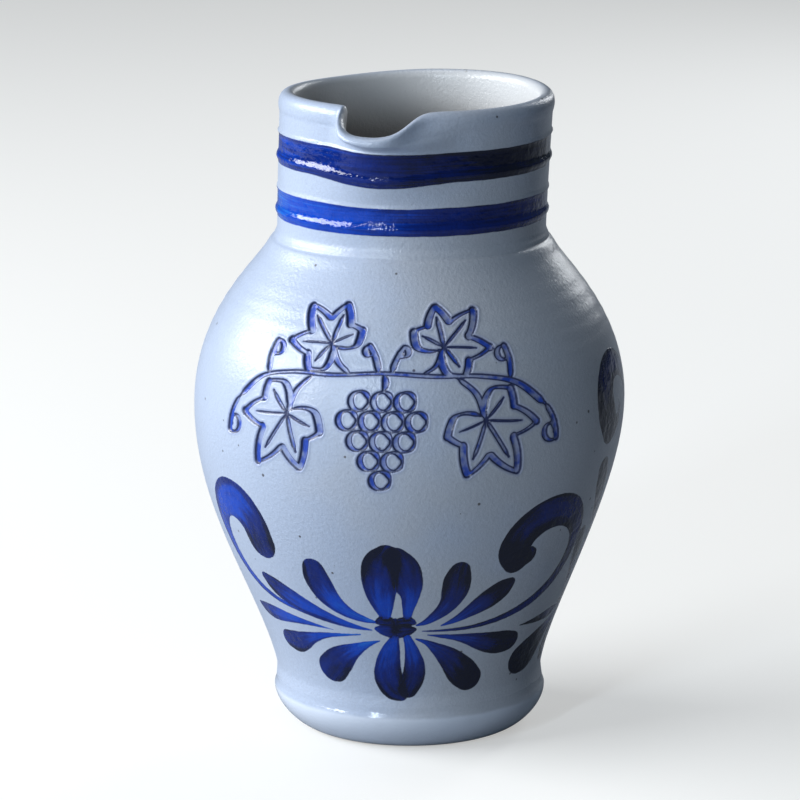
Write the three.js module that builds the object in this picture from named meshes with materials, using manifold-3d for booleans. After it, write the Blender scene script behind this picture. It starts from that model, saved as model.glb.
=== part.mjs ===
// A two-litre wine jug of salt-glazed stoneware, in millimetres, +Z up.
// The origin is the centre of the flat base. The spout points along -Y and the handle stands along +Y.
// The body is thrown and turned in one piece, with its spout drawn out of the rim by a finger.
// The handle is a pulled strap, stuck on at the neck and at the shoulder, and a coil of soft clay
// is worked into the angle round each of its two roots.

import * as THREE from "three";
import { mergeVertices } from "three/addons/utils/BufferGeometryUtils.js";
import Module from "manifold-3d";

const wasm = await Module();
wasm.setup();

// Foot: a flat base, a soft bead and a waist above it
const baseRadius = 40;
const footRadius = 50.6;
const footSpread = 4.5;
const footLift = 1;
const footRound = 6.5;
const footBeadHeight = 13.5;
const waistRadius = 50;
const waistRise = 8.5;

// Belly and shoulder, stacked on the waist. A hold is how far a curve keeps its direction at an end.
const waistFlare = THREE.MathUtils.degToRad(10);
const waistHold = 24.9;
const bellyRadius = 80.5;
const bellyRise = 102;
const bellyHoldBelow = 37.7;
const bellyHoldAbove = 32.2;
const shoulderRise = 58.5;
const shoulderLean = THREE.MathUtils.degToRad(31);
const shoulderHold = 9.4;

// Neck, stacked on the shoulder: fillet, lower band, upper band and rolled rim, with plain clay between
const neckRadius = 49.9;
const shoulderStep = 4.1;
const neckFillet = 8;
const belowBands = 3.8;
const lowerBand = 10.6;
const betweenBands = 9.3;
const upperBand = 11.2;
const aboveBands = 7.2;
const rimBead = 7.4;
const rimBeadProud = 0.9;
const rimBeadSwell = 1.5;
const rimBeadSwellRise = 3.3;
const rimUndercut = 0.2;

// Turned relief: a fine ridge over each band, a soft swelling at its foot and a groove in the fillet,
// whose place and width are shares of the fillet
const ridgeWidth = 1.6;
const ridgeProud = 0.6;
const swellingWidth = 4.4;
const swellingProud = 0.7;
const grooveShare = 0.35;
const grooveSpan = 0.18;
const grooveDepth = 0.6;

// Walls
const neckWall = 5;
const bellyWall = 6;
const floorThickness = 8;
const floorCorner = 15;
const lipRound = 3;
const innerNeckFoot = 1.5;

// Spout: how wide, how far out and how far down, and how deep below the rim each pull reaches
const spoutHalfAngle = THREE.MathUtils.degToRad(20);
const spoutCorner = 1.15;
const spoutReach = 11.5;
const spoutReachDepth = 46;
const spoutReachFade = 1.4;
const spoutDip = 6;
const spoutDipDepth = 21;
const bandDip = 2.4;

// Handle: a tapering strap with two finger grooves
const upperStrapWidth = 27;
const lowerStrapWidth = 22;
const upperStrapThickness = 11.5;
const lowerStrapThickness = 9;
const strapGroove = 1.1;
const rootFlare = 3;
const rootFlareShare = 0.16;

// Handle's route: its centre line starts and ends this deep inside the wall, at a drop below the rim
// and a rise above the widest place, and is pulled out and up from there
const upperRootDrop = 26.5;
const lowerRootRise = 16;
const rootDepth = 10;
const upperPull = new THREE.Vector3(0, 60, 30);
const lowerPull = new THREE.Vector3(0, 43, 48);

// Thumb mark that presses the lower end home
const thumbRadius = 14;
const thumbDepth = 1.7;
const thumbShare = 0.87;

// Coils of clay worked round the roots, and the gap that neighbouring pieces keep
const coilLeg = 5.5;
const coilHollow = 1.5;
const coilSquareness = 0.7;
const clearance = 0.3;

// Facets
const turnSegments = 64;
const spoutCrowding = 0.55;
const strapSteps = 28;
const coilSides = 12;
const coilSteps = 44;

const bellyHeight = footBeadHeight + waistRise + bellyRise;
const shoulderHeight = bellyHeight + shoulderRise;
const shoulderRadius = neckRadius + shoulderStep;
const lowerBandFoot = shoulderHeight + neckFillet + belowBands;
const upperBandFoot = lowerBandFoot + lowerBand + betweenBands;
const rimBeadFoot = upperBandFoot + upperBand + aboveBands;
const rimHeight = rimBeadFoot + rimBead;
const innerNeckRadius = neckRadius - neckWall;

const point = (radius, height) => new THREE.Vector2(radius, height);

// The outside of the foot: a flat base rounding into a soft bead, then in again to the waist.
function footCurve() {
  const path = new THREE.Path();
  path.moveTo(baseRadius, 0);
  path.bezierCurveTo(
    baseRadius + footSpread, footLift,
    footRadius, footBeadHeight - footRound,
    footRadius, footBeadHeight,
  );
  path.bezierCurveTo(
    footRadius, footBeadHeight + waistRise / 3,
    waistRadius, footBeadHeight + (2 * waistRise) / 3,
    waistRadius, footBeadHeight + waistRise,
  );
  return path;
}

// The outside of the belly, from the waist out to its widest place and in again along the shoulder.
function bellyCurve() {
  const waistHeight = footBeadHeight + waistRise;
  const path = new THREE.Path();
  path.moveTo(waistRadius, waistHeight);
  path.bezierCurveTo(
    waistRadius + waistHold * Math.sin(waistFlare), waistHeight + waistHold * Math.cos(waistFlare),
    bellyRadius, bellyHeight - bellyHoldBelow,
    bellyRadius, bellyHeight,
  );
  path.bezierCurveTo(
    bellyRadius, bellyHeight + bellyHoldAbove,
    shoulderRadius + shoulderHold * Math.sin(shoulderLean),
    shoulderHeight - shoulderHold * Math.cos(shoulderLean),
    shoulderRadius, shoulderHeight,
  );
  return path;
}

// The turn from the shoulder up into the neck, with the groove cut into it.
function filletOutline() {
  const fillet = new THREE.QuadraticBezierCurve(
    point(shoulderRadius, shoulderHeight),
    point(neckRadius, shoulderHeight + shoulderStep / Math.tan(shoulderLean)),
    point(neckRadius, shoulderHeight + neckFillet),
  );
  return [
    fillet.getPoint(grooveShare - grooveSpan / 2),
    fillet.getPoint(grooveShare).sub(point(grooveDepth, 0)),
    fillet.getPoint(grooveShare + grooveSpan / 2),
    fillet.getPoint(1),
  ];
}

// A line turned proud of the neck.
function turnedLine(height, width, proud) {
  return [
    point(neckRadius, height - width / 2),
    point(neckRadius + proud, height),
    point(neckRadius, height + width / 2),
  ];
}

// The outside of the rolled rim, up to the middle of the lip.
function rimCurve() {
  return new THREE.CubicBezierCurve(
    point(neckRadius - rimUndercut, rimBeadFoot),
    point(neckRadius + rimBeadSwell, rimBeadFoot + rimBeadSwellRise),
    point(neckRadius + rimBeadProud, rimHeight),
    point(neckRadius - neckWall / 2, rimHeight),
  );
}

// The whole outside, from the edge of the base up to the middle of the lip.
function outsideOutline() {
  const framedBand = (foot, height) => [
    ...turnedLine(foot + swellingWidth / 2, swellingWidth, swellingProud),
    ...turnedLine(foot + height, ridgeWidth, ridgeProud),
  ];
  return [
    ...footCurve().getPoints(4),
    ...bellyCurve().getPoints(7).slice(1),
    ...filletOutline(),
    ...framedBand(lowerBandFoot, lowerBand),
    ...framedBand(upperBandFoot, upperBand),
    ...rimCurve().getPoints(6),
  ];
}

// Moves an outline along its own normals: outwards above zero, into the clay below it.
function shifted(outline, distance) {
  return outline.map((p, i) => {
    const before = outline[Math.max(i - 1, 0)];
    const after = outline[Math.min(i + 1, outline.length - 1)];
    const along = after.clone().sub(before).normalize();
    return point(p.x + along.y * distance, p.y - along.x * distance);
  });
}

// The inside, from the lip down to the centre of the floor.
function insideOutline() {
  const lip = new THREE.EllipseCurve(
    neckRadius - neckWall / 2, rimHeight - lipRound,
    neckWall / 2, lipRound,
    Math.PI / 2, Math.PI,
  );
  const neck = new THREE.LineCurve(
    point(innerNeckRadius, rimHeight - lipRound),
    point(innerNeckRadius, shoulderHeight + innerNeckFoot),
  );
  const belly = shifted(bellyCurve().getPoints(6), -bellyWall)
    .filter((p) => p.y > floorThickness + floorCorner && p.y < shoulderHeight)
    .reverse();
  const [above, lowest] = belly.slice(-2);
  const drop = lowest.y - floorThickness;
  const cornerRadius = lowest.x - (drop * (above.x - lowest.x)) / (above.y - lowest.y);
  const corner = new THREE.QuadraticBezierCurve(
    lowest,
    point(cornerRadius, floorThickness),
    point(cornerRadius - floorCorner, floorThickness),
  );
  return [
    ...lip.getPoints(3).slice(1),
    ...neck.getPoints(5).slice(1),
    ...belly,
    ...corner.getPoints(4).slice(1),
    point(0, floorThickness),
  ];
}

const outside = outsideOutline();

// The outside radius at a height, read off the outline.
function radiusAt(height) {
  const above = outside.findIndex((p) => p.y >= height);
  const [low, high] = [outside[above - 1], outside[above]];
  return THREE.MathUtils.mapLinear(height, low.y, high.y, low.x, high.x);
}

// A place on the back of the body, by its distance across and its height, or that far off the wall.
function onBack(across, height, off = 0) {
  const step = 2;
  const lean = Math.atan2(radiusAt(height - step) - radiusAt(height + step), 2 * step);
  const turn = Math.asin(across / radiusAt(height));
  const reach = radiusAt(height) + off * Math.cos(lean);
  return new THREE.Vector3(reach * Math.sin(turn), reach * Math.cos(turn), height + off * Math.sin(lean));
}

// Calls move(vertex) on each vertex of a geometry and stores what it leaves there.
function reshaped(geometry, move) {
  const positions = geometry.attributes.position;
  const vertex = new THREE.Vector3();
  for (let i = 0; i < positions.count; i += 1) {
    move(vertex.fromBufferAttribute(positions, i));
    positions.setXYZ(i, vertex.x, vertex.y, vertex.z);
  }
  return geometry;
}

// The solid that a closed geometry bounds, with its shared vertices merged.
function solidOf(geometry) {
  const bare = geometry.clone();
  bare.deleteAttribute("normal");
  bare.deleteAttribute("uv");
  const merged = mergeVertices(bare, 1e-4);
  const corners = merged.index.array;
  const triangles = [];
  for (let i = 0; i < corners.length; i += 3) {
    const [a, b, c] = corners.slice(i, i + 3);
    if (a !== b && b !== c && c !== a) triangles.push(a, b, c);
  }
  return new wasm.Manifold(new wasm.Mesh({
    numProp: 3,
    vertProperties: merged.attributes.position.array,
    triVerts: new Uint32Array(triangles),
  }));
}

// The geometry of a solid, ready for a mesh.
function geometryOf(solid) {
  const { vertProperties, triVerts } = solid.getMesh();
  const geometry = new THREE.BufferGeometry();
  geometry.setAttribute("position", new THREE.BufferAttribute(vertProperties, 3));
  geometry.setIndex(new THREE.BufferAttribute(triVerts, 1));
  geometry.computeVertexNormals();
  return geometry;
}

// Draws the spout out of a turned shape, whose segments first crowd round towards -Y.
// Near the rim the clay there is pulled outwards and down, which dips the upper band a little.
function drawSpout(vertex) {
  const radius = Math.hypot(vertex.x, vertex.y);
  const even = Math.atan2(vertex.x, -vertex.y);
  const angle = even - spoutCrowding * Math.sin(even);
  const sideways = Math.max(0, 1 - Math.abs(angle) / spoutHalfAngle);
  const bump = Math.sin((sideways * Math.PI) / 2) ** spoutCorner;
  const reach = THREE.MathUtils.smoothstep(vertex.z, rimHeight - spoutReachDepth, rimHeight);
  const dip = THREE.MathUtils.smoothstep(vertex.z, rimHeight - spoutDipDepth, rimHeight);
  const pulled = radius > 0 ? radius + spoutReach * bump * reach ** spoutReachFade : 0;
  const down = bump * (spoutDip * dip + bandDip * reach);
  vertex.set(pulled * Math.sin(angle), -pulled * Math.cos(angle), vertex.z - down);
}

// An outline turned about the upright axis, with the spout drawn out.
function thrown(outline) {
  const lathe = new THREE.LatheGeometry(outline, turnSegments);
  return solidOf(reshaped(lathe.rotateX(Math.PI / 2), drawSpout));
}

function thrownBody() {
  return thrown([point(0, 0), ...outside, ...insideOutline()]);
}

// The body without its hollow, grown by the clearance: what its neighbours are cut by.
function bodyEnvelope() {
  const skin = shifted(outside, clearance);
  return thrown([point(0, skin[0].y), ...skin, point(0, rimHeight + clearance)]);
}

// The strap's centre line, from inside the neck wall, out and over, and back into the shoulder.
function strapPath() {
  const top = rimHeight - upperRootDrop;
  const foot = bellyHeight + lowerRootRise;
  const start = new THREE.Vector3(0, radiusAt(top) - rootDepth, top);
  const end = new THREE.Vector3(0, radiusAt(foot) - rootDepth, foot);
  return new THREE.CubicBezierCurve3(start, start.clone().add(upperPull), end.clone().add(lowerPull), end);
}

// Half the strap's width and thickness at a share of its length: it tapers, and flares at its roots.
function strapHalves(share) {
  const fromRoot = Math.min(share, 1 - share) / rootFlareShare;
  const flare = rootFlare * (1 - THREE.MathUtils.smoothstep(fromRoot, 0, 1));
  return {
    width: THREE.MathUtils.lerp(upperStrapWidth, lowerStrapWidth, share) / 2 + flare,
    thickness: THREE.MathUtils.lerp(upperStrapThickness, lowerStrapThickness, share) / 2,
  };
}

// The strap's section between -1 and 1: flat inside, and outside a rib between two finger grooves.
function strapSection() {
  const groove = 1 - (4 * strapGroove) / upperStrapThickness;
  const shape = new THREE.Shape();
  shape.moveTo(-0.62, -1);
  shape.lineTo(0.62, -1);
  shape.bezierCurveTo(0.9, -1, 1, -0.6, 1, -0.05);
  shape.bezierCurveTo(1, 0.6, 0.9, 1, 0.68, 1);
  shape.quadraticCurveTo(0.36, groove, 0, 1);
  shape.quadraticCurveTo(-0.36, groove, -0.68, 1);
  shape.bezierCurveTo(-0.9, 1, -1, 0.6, -1, -0.05);
  shape.bezierCurveTo(-1, -0.6, -0.9, -1, -0.62, -1);
  return shape;
}

// The outward direction of the strap at a share of its length, square to its centre line.
function strapOutwards(share) {
  const along = strapPath().getTangent(share);
  return new THREE.Vector3(0, -along.z, along.y);
}

// A straight bar of the section, bent along the strap's path and grown all round.
function sweptStrap(grow) {
  const bar = new THREE.ExtrudeGeometry(strapSection(), {
    depth: 1, steps: strapSteps, curveSegments: 3, bevelEnabled: false,
  });
  const path = strapPath();
  return solidOf(reshaped(bar, (vertex) => {
    const [across, deep, share] = vertex.toArray();
    const { width, thickness } = strapHalves(share);
    vertex.copy(path.getPoint(share)).addScaledVector(strapOutwards(share), deep * (thickness + grow));
    vertex.x = -across * (width + grow);
  }));
}

// The thumb mark, pressed into the strap's outer face above its lower root.
function thumb() {
  const centre = strapPath().getPoint(thumbShare);
  const depth = strapHalves(thumbShare).thickness - thumbDepth;
  centre.addScaledVector(strapOutwards(thumbShare), depth + thumbRadius);
  const ball = new THREE.SphereGeometry(thumbRadius, 24, 16);
  return solidOf(ball.translate(centre.x, centre.y, centre.z));
}

// The place where the strap's centre line leaves the body, as a share, looked for from one end.
function rootShare(fromStart) {
  const path = strapPath();
  const steps = 400;
  const shares = Array.from({ length: steps }, (_, i) => (fromStart ? i / steps : 1 - i / steps));
  return shares.find((share) => {
    const place = path.getPoint(share);
    return place.y > radiusAt(place.z) + clearance;
  });
}

// A coil of clay round one root of the strap, lying in the angle between the strap and the wall.
function coilRound(fromStart) {
  const share = rootShare(fromStart);
  const root = strapPath().getPoint(share);
  const square = onBack(0, root.z, 1).sub(onBack(0, root.z));
  const slant = Math.abs(strapPath().getTangent(share).dot(square));
  const { width, thickness } = strapHalves(share);
  const height = thickness / slant;
  const bent = (value, power) => Math.sign(value) * Math.abs(value) ** power;
  const ring = new THREE.TorusGeometry(width, coilLeg, coilSides, coilSteps);
  return solidOf(reshaped(ring, (vertex) => {
    const turn = Math.atan2(vertex.y, vertex.x);
    const leg = coilLeg * bent((Math.hypot(vertex.x, vertex.y) - width) / coilLeg, coilHollow);
    const off = coilLeg * bent(vertex.z / coilLeg, coilHollow);
    const side = point(Math.cos(turn) * height, Math.sin(turn) * width).normalize();
    const across = width * bent(Math.cos(turn), coilSquareness) + leg * side.x;
    const up = height * bent(Math.sin(turn), coilSquareness) + leg * side.y;
    vertex.copy(onBack(-across, root.z + up, off));
  }));
}

const clay = new THREE.MeshStandardMaterial({ color: 0xb4bcc6, roughness: 0.32, metalness: 0 });
const handleClay = new THREE.MeshStandardMaterial({ color: 0xb0b8c2, roughness: 0.34, metalness: 0 });
const coilClay = new THREE.MeshStandardMaterial({ color: 0xa9b2bd, roughness: 0.36, metalness: 0 });

function piece(name, solid, material) {
  const mesh = new THREE.Mesh(geometryOf(solid), material);
  mesh.name = name;
  return mesh;
}

const envelope = bodyEnvelope();
const grownStrap = sweptStrap(clearance);
const jug = new THREE.Group();
jug.add(piece("thrown_body", thrownBody(), clay));
jug.add(piece("strap_handle", sweptStrap(0).subtract(thumb()).subtract(envelope), handleClay));
jug.add(piece("upper_luting_coil", coilRound(true).subtract(envelope).subtract(grownStrap), coilClay));
jug.add(piece("lower_luting_coil", coilRound(false).subtract(envelope).subtract(grownStrap), coilClay));

export default jug;
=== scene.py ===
# A two-litre wine jug of grey salt-glazed stoneware, painted and incised with cobalt.
# Sizes are in millimetres unless a name says otherwise, and are made metres where a mesh is made.

import math
from collections import namedtuple

import bmesh
import bpy
import numpy as np
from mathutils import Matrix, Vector


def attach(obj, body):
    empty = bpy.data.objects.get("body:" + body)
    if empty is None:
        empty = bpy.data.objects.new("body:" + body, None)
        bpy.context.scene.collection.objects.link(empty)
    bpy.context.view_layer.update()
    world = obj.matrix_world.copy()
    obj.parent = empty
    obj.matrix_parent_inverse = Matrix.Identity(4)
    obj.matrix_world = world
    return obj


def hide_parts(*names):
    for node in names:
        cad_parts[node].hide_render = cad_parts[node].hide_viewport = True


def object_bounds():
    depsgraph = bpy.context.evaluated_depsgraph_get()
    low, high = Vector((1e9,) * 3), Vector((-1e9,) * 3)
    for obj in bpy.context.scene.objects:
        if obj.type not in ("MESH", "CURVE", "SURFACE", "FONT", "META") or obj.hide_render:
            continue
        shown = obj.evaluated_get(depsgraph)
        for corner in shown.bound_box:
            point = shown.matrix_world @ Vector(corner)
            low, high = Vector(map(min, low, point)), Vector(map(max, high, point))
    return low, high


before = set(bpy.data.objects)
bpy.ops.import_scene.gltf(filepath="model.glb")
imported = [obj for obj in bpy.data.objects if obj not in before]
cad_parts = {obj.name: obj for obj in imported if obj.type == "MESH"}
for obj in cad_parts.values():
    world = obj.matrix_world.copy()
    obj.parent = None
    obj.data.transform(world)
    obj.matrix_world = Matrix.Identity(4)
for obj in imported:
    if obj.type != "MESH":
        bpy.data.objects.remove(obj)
cad_low, cad_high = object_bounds()
mm = 0.001

# Camera
# The jug is seen from a metre and a half away through a long lens, from above its rim and from a
# little to the right of its spout. The distances are those of a camera fitted to its outline.
camera_away = 1512.6
camera_height = 469.8
camera_aside = -3.5
camera_azimuth = math.radians(10.8)
camera_tilt = math.radians(12.92)
camera_lens, camera_film = 186.3, 36


def placed(name, data):
    """A new object in the scene."""
    thing = bpy.data.objects.new(name, data)
    bpy.context.scene.collection.objects.link(thing)
    return thing


def aimed(name, data, place, look):
    """A camera or a lamp at a place in metres, which looks that way."""
    thing = placed(name, data)
    thing.location = place
    thing.rotation_mode = "QUATERNION"
    thing.rotation_quaternion = look.to_track_quat("-Z", "Y")
    return thing


towards = Vector((-math.sin(camera_azimuth), math.cos(camera_azimuth), 0))
rightwards = Vector((math.cos(camera_azimuth), math.sin(camera_azimuth), 0))
camera_place = rightwards * camera_aside - towards * camera_away + Vector((0, 0, camera_height))
camera_look = towards * math.cos(camera_tilt) - Vector((0, 0, math.sin(camera_tilt)))
camera = aimed("camera", bpy.data.cameras.new("camera"), camera_place * mm, camera_look)
camera.data.lens = camera_lens
camera.data.sensor_width = camera_film
bpy.context.scene.camera = camera

# Thrown body
# One wall of clay, thrown on a wheel and turned: a soft foot, a full belly, a shoulder and a neck
# with a rolled rim. All of it is one outline, from the middle of the base up the outside, over the
# lip and down the inside to the middle of the floor.
base_radius = 40
foot_radius, foot_bead_height = 50.6, 13.5
waist_radius, waist_height = 50, 22
belly_radius, belly_height = 80.5, 124
shoulder_radius, shoulder_height = 54, 182.5
neck_radius, neck_foot = 49.9, 190.5
rim_bead_foot, rim_height = 232.6, 240
neck_widens, rim_bead = 0.5, 1.5
neck_wall, belly_wall, floor_thickness = 5, 6, 8
inner_neck, inner_belly = neck_radius - neck_wall, belly_radius - belly_wall
inner_neck_foot, inner_corner, floor_edge = shoulder_height + 3, (45.2, 22), (28, floor_thickness)
lip_round = 3
# Where each curve is drawn towards, as it leaves its first end and as it nears the other.
foot_pulls = ((44.5, 1), (foot_radius, 7))
ledge_pulls = ((foot_radius, 16.3), (waist_radius, 19.2))
belly_pulls = ((54.3, 46.5), (belly_radius, 86.3))
upper_belly_pulls = ((belly_radius, 156.2), (58.84, 174.4))
shoulder_pulls = ((51.9, 186.1), (neck_radius, 187.6))
rim_pulls = ((neck_radius + rim_bead, rim_bead_foot + 2.6), (neck_radius + rim_bead, rim_height))
inner_rim_pulls = ((46.1, rim_height), (inner_neck, 238.6))
inner_shoulder_pulls = ((inner_neck, 178), (inner_belly, 156))
inner_belly_pulls = ((inner_belly, 86), (49.5, 46))
corner_pulls = ((43, 12), (38, floor_thickness))
base_rows, points_per_row = 4, 4


def straight(start, end, rows):
    """Fine points from start to end, without the start."""
    share = np.linspace(0, 1, rows * points_per_row + 1)[1:, None]
    return np.array(start) * (1 - share) + np.array(end) * share


def cubic(share, start, first, second, end):
    """Places on a curve that leaves start towards first and reaches end from second."""
    share = share[:, None]
    rest = 1 - share
    near_start = rest**3 * np.array(start) + 3 * rest**2 * share * np.array(first)
    near_end = 3 * rest * share**2 * np.array(second) + share**3 * np.array(end)
    return near_start + near_end


def bent(start, first, second, end, rows):
    """Fine points on such a curve, without the start."""
    share = np.linspace(0, 1, rows * points_per_row + 1)[1:]
    return cubic(share, start, first, second, end)


def outside_stretches():
    """From the middle of the base to the lip, each with its number of rows."""
    foot_top = (foot_radius, foot_bead_height)
    waist = (waist_radius, waist_height)
    widest = (belly_radius, belly_height)
    shoulder = (shoulder_radius, shoulder_height)
    neck = (neck_radius, neck_foot)
    rim = (neck_radius + neck_widens, rim_bead_foot)
    lip = (neck_radius - neck_wall / 2, rim_height)
    return [
        straight((0, 0), (base_radius, 0), base_rows),
        bent((base_radius, 0), *foot_pulls, foot_top, 14),
        bent(foot_top, *ledge_pulls, waist, 12),
        bent(waist, *belly_pulls, widest, 66),
        bent(widest, *upper_belly_pulls, shoulder, 43),
        bent(shoulder, *shoulder_pulls, neck, 12),
        straight(neck, rim, 54),
        bent(rim, *rim_pulls, lip, 12),
    ]


def inside_stretches():
    """From the lip to the middle of the floor."""
    lip = (neck_radius - neck_wall / 2, rim_height)
    below_lip = (inner_neck, rim_height - lip_round)
    neck_end = (inner_neck, inner_neck_foot)
    widest = (inner_belly, belly_height)
    return [
        bent(lip, *inner_rim_pulls, below_lip, 5),
        straight(below_lip, neck_end, 16),
        bent(neck_end, *inner_shoulder_pulls, widest, 18),
        bent(widest, *inner_belly_pulls, inner_corner, 22),
        bent(inner_corner, *corner_pulls, floor_edge, 8),
        straight(floor_edge, (0, floor_thickness), base_rows),
    ]


outside = np.concatenate([np.zeros((1, 2)), *outside_stretches()])
outline = np.concatenate([outside, *inside_stretches()])
outer_rows = (len(outside) - 1) // points_per_row
last_row = (len(outline) - 1) // points_per_row
fine_rows = np.arange(len(outline)) / points_per_row


def heading_of(line):
    """Which way a line runs at each of its places."""
    along = np.gradient(line, axis=0)
    return along / np.linalg.norm(along, axis=1)[:, None]


def square_to(line):
    """The directions square to a line, on its right: outwards, on an outline drawn upwards."""
    along = heading_of(line)
    return np.column_stack((along[:, 1], -along[:, 0]))


# Turned relief
# Each blue band lies between a fine ridge and a soft swelling, left by the edge of a rib held
# against the turning neck. A groove marks where the neck begins, a small ledge where the foot does,
# and the fingers that drew up the wall left faint rings on the shoulder and clearer ones inside.
band_feet = (194.3, 214.2)
band_heights = (10.6, 11.2)
ridge_width, ridge_proud = 1.7, 0.6
swelling_width, swelling_proud = 4.6, 0.8
groove_height, groove_width, groove_depth = 186.3, 1.9, 0.55
ledge_top, ledge_edge, ledge_foot, ledge_proud = 15.6, 13.6, 3, 0.6
ring_rise, ring_depth, ring_middle, ring_spread = 5.2, 0.07, 160, 50
inner_ring_rise, inner_ring_depth, inner_ring_middle, inner_ring_spread = 11, 0.35, 110, 190


def smooth_step(value, low, high):
    share = np.clip((value - low) / (high - low), 0, 1)
    return share * share * (3 - 2 * share)


def swell(height, middle, width):
    """A round-topped bump of that width, between 0 and 1."""
    share = np.clip(np.abs(height - middle) / (width / 2), 0, 1)
    return np.cos(share * math.pi / 2) ** 2


def turned_relief(height):
    relief = -groove_depth * swell(height, groove_height, groove_width)
    ledge = smooth_step(height, ledge_foot, ledge_edge) * smooth_step(-height, -ledge_top, -ledge_edge)
    relief += ledge_proud * ledge
    for foot, tall in zip(band_feet, band_heights):
        relief += swelling_proud * swell(height, foot + swelling_width / 2, swelling_width)
        relief += ridge_proud * swell(height, foot + tall, ridge_width)
    rings = np.sin(height * 2 * math.pi / ring_rise) * swell(height, ring_middle, ring_spread)
    return relief + ring_depth * rings


outline_normals = square_to(outline)
on_outside = np.arange(len(outline)) < len(outside)
plain_heights = outline[:, 1].copy()
inner_rings = inner_ring_depth * np.sin(plain_heights * 2 * math.pi / inner_ring_rise)
inner_rings *= swell(plain_heights, inner_ring_middle, inner_ring_spread)
relief = np.where(on_outside, turned_relief(plain_heights), inner_rings)
relief *= outline[:, 0] > base_radius / 2
outline = outline + outline_normals * relief[:, None]
outline_normals = square_to(outline)

# Spout
# One finger draws the lip out of the soft rim while two others hold the rim back: hard on its left,
# which leaves a crisp corner, softly on its right. The neck bulges below, and the upper band dips. A
# jug lifted off the wheel is never quite upright or level, so its middle and its rim wander a little.
lip_middle, crisp_side, crispness = math.radians(-5.5), math.radians(17.8), 3.4
crisp_foot, soft_side, softness = (-0.06, 0.34), math.radians(12.3), math.radians(3.1)
throat_middle, throat_side = math.radians(-4), math.radians(36)
held_back, held_foot, held_top = math.radians(11), 215, 228
lip_depth = 12
spout_reach, spout_reach_depth, spout_reach_fade = 9.2, 46, 1.4
lip_curl, lip_curl_top, lip_curl_foot = 3.4, 6.4, 15
dip_heights = (200, 207, 214.2, 220, 225.4, 229, 233.5, 240)
dips = (0, 0.7, 2.2, 1.3, 0.2, 1.6, 5.3, 8.4)
rim_turns = (-215, -180, -130, -90, -35, 25, 90, 145, 180, 230)
rim_rises = (1.4, 1.1, -0.4, 0, 0.6, -0.6, 0, 1.4, 1.1, -0.4)
lean_heights = (0, 45, 85, 124, 200, 240)
lean_aside = (0.4, -0.6, -1.1, 0, 1.1, 2.8)


def smooth_through(knots, values, at):
    """A smooth line through a few values, read at those places."""
    slopes = np.gradient(np.array(values, float), np.array(knots, float))
    piece = np.clip(np.searchsorted(knots, at, side="right") - 1, 0, len(knots) - 2)
    low, high = np.take(knots, piece), np.take(knots, piece + 1)
    span = high - low
    share = np.clip((at - low) / span, 0, 1)
    rest = 1 - share
    ends = np.take(values, piece) * rest**2 * (1 + 2 * share)
    ends += np.take(values, piece + 1) * share**2 * (3 - 2 * share)
    pulls = slopes[piece] * span * share * rest**2 - slopes[piece + 1] * span * share**2 * rest
    return ends + pulls


def spout_pull(turn, height):
    """How far the wall is drawn out, between 0 and 1."""
    aside = turn - lip_middle
    crisp = 1 - np.clip(-aside / crisp_side, 0, 1) ** crispness
    crisp *= smooth_step(crisp, *crisp_foot)
    soft = (1 + math.exp(-soft_side / softness)) / (1 + np.exp((aside - soft_side) / softness))
    held = np.where(turn < throat_middle, held_back, 0) * smooth_step(height, held_foot, held_top)
    throat = np.cos(np.clip((turn - throat_middle) / (throat_side - held), -1, 1) * math.pi / 2) ** 2
    at_lip = smooth_step(height, rim_height - lip_depth, rim_height - lip_round)
    return throat + (np.where(aside < 0, crisp, soft) - throat) * at_lip


def jug_wall(turn, row, lift):
    """Places on the jug's skin, by the turn from the spout and the outline's row, lifted off it."""
    radius = np.interp(row, fine_rows, outline[:, 0])
    height = np.interp(row, fine_rows, outline[:, 1])
    radius = radius + lift * np.interp(row, fine_rows, outline_normals[:, 0])
    height = height + lift * np.interp(row, fine_rows, outline_normals[:, 1])
    pull = spout_pull(turn, height)
    reach = smooth_step(height, rim_height - spout_reach_depth, rim_height)
    curl = smooth_step(height, rim_height - lip_curl_foot, rim_height - lip_curl_top)
    out = spout_reach * reach**spout_reach_fade + lip_curl * curl
    pulled = radius + out * pull * (radius > 0)
    lean = smooth_through(lean_heights, lean_aside, height)
    rise = reach * smooth_through(rim_turns, rim_rises, np.degrees(turn))
    return np.column_stack((
        pulled * np.sin(turn) + lean * rightwards.x,
        -pulled * np.cos(turn) + lean * rightwards.y,
        height + rise - pull * smooth_through(dip_heights, dips, height),
    ))


# The wheel
# Turns the outline round the upright axis. Its columns crowd together at the front, where the
# painting is, and it leaves on each point the row of the outline that the point came from.
wheel_inputs = {
    "Outline": "Geometry", "Rows": "Int", "Columns": "Int", "Crowding": "Float", "Glaze": "Material",
}
wheel_columns, wheel_crowding = 150, 0.45
seam_gap = 0.01


def add(kind, *values, **settings):
    """A new node, given its inputs' values and at least one link, in order. Gives its output."""
    tree = next(value for value in values if isinstance(value, bpy.types.NodeSocket)).id_data
    node = tree.nodes.new(kind)
    for name, value in settings.items():
        setattr(node, name, value)
    inputs = [socket for socket in node.inputs if socket.enabled]
    for socket, value in zip(inputs, values):
        if isinstance(value, bpy.types.NodeSocket):
            tree.links.new(value, socket)
        elif value is not None:
            socket.default_value = value
    return next(socket for socket in node.outputs if socket.enabled)


def sums(operation, *values):
    return add("ShaderNodeMath", *values, operation=operation)


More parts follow.
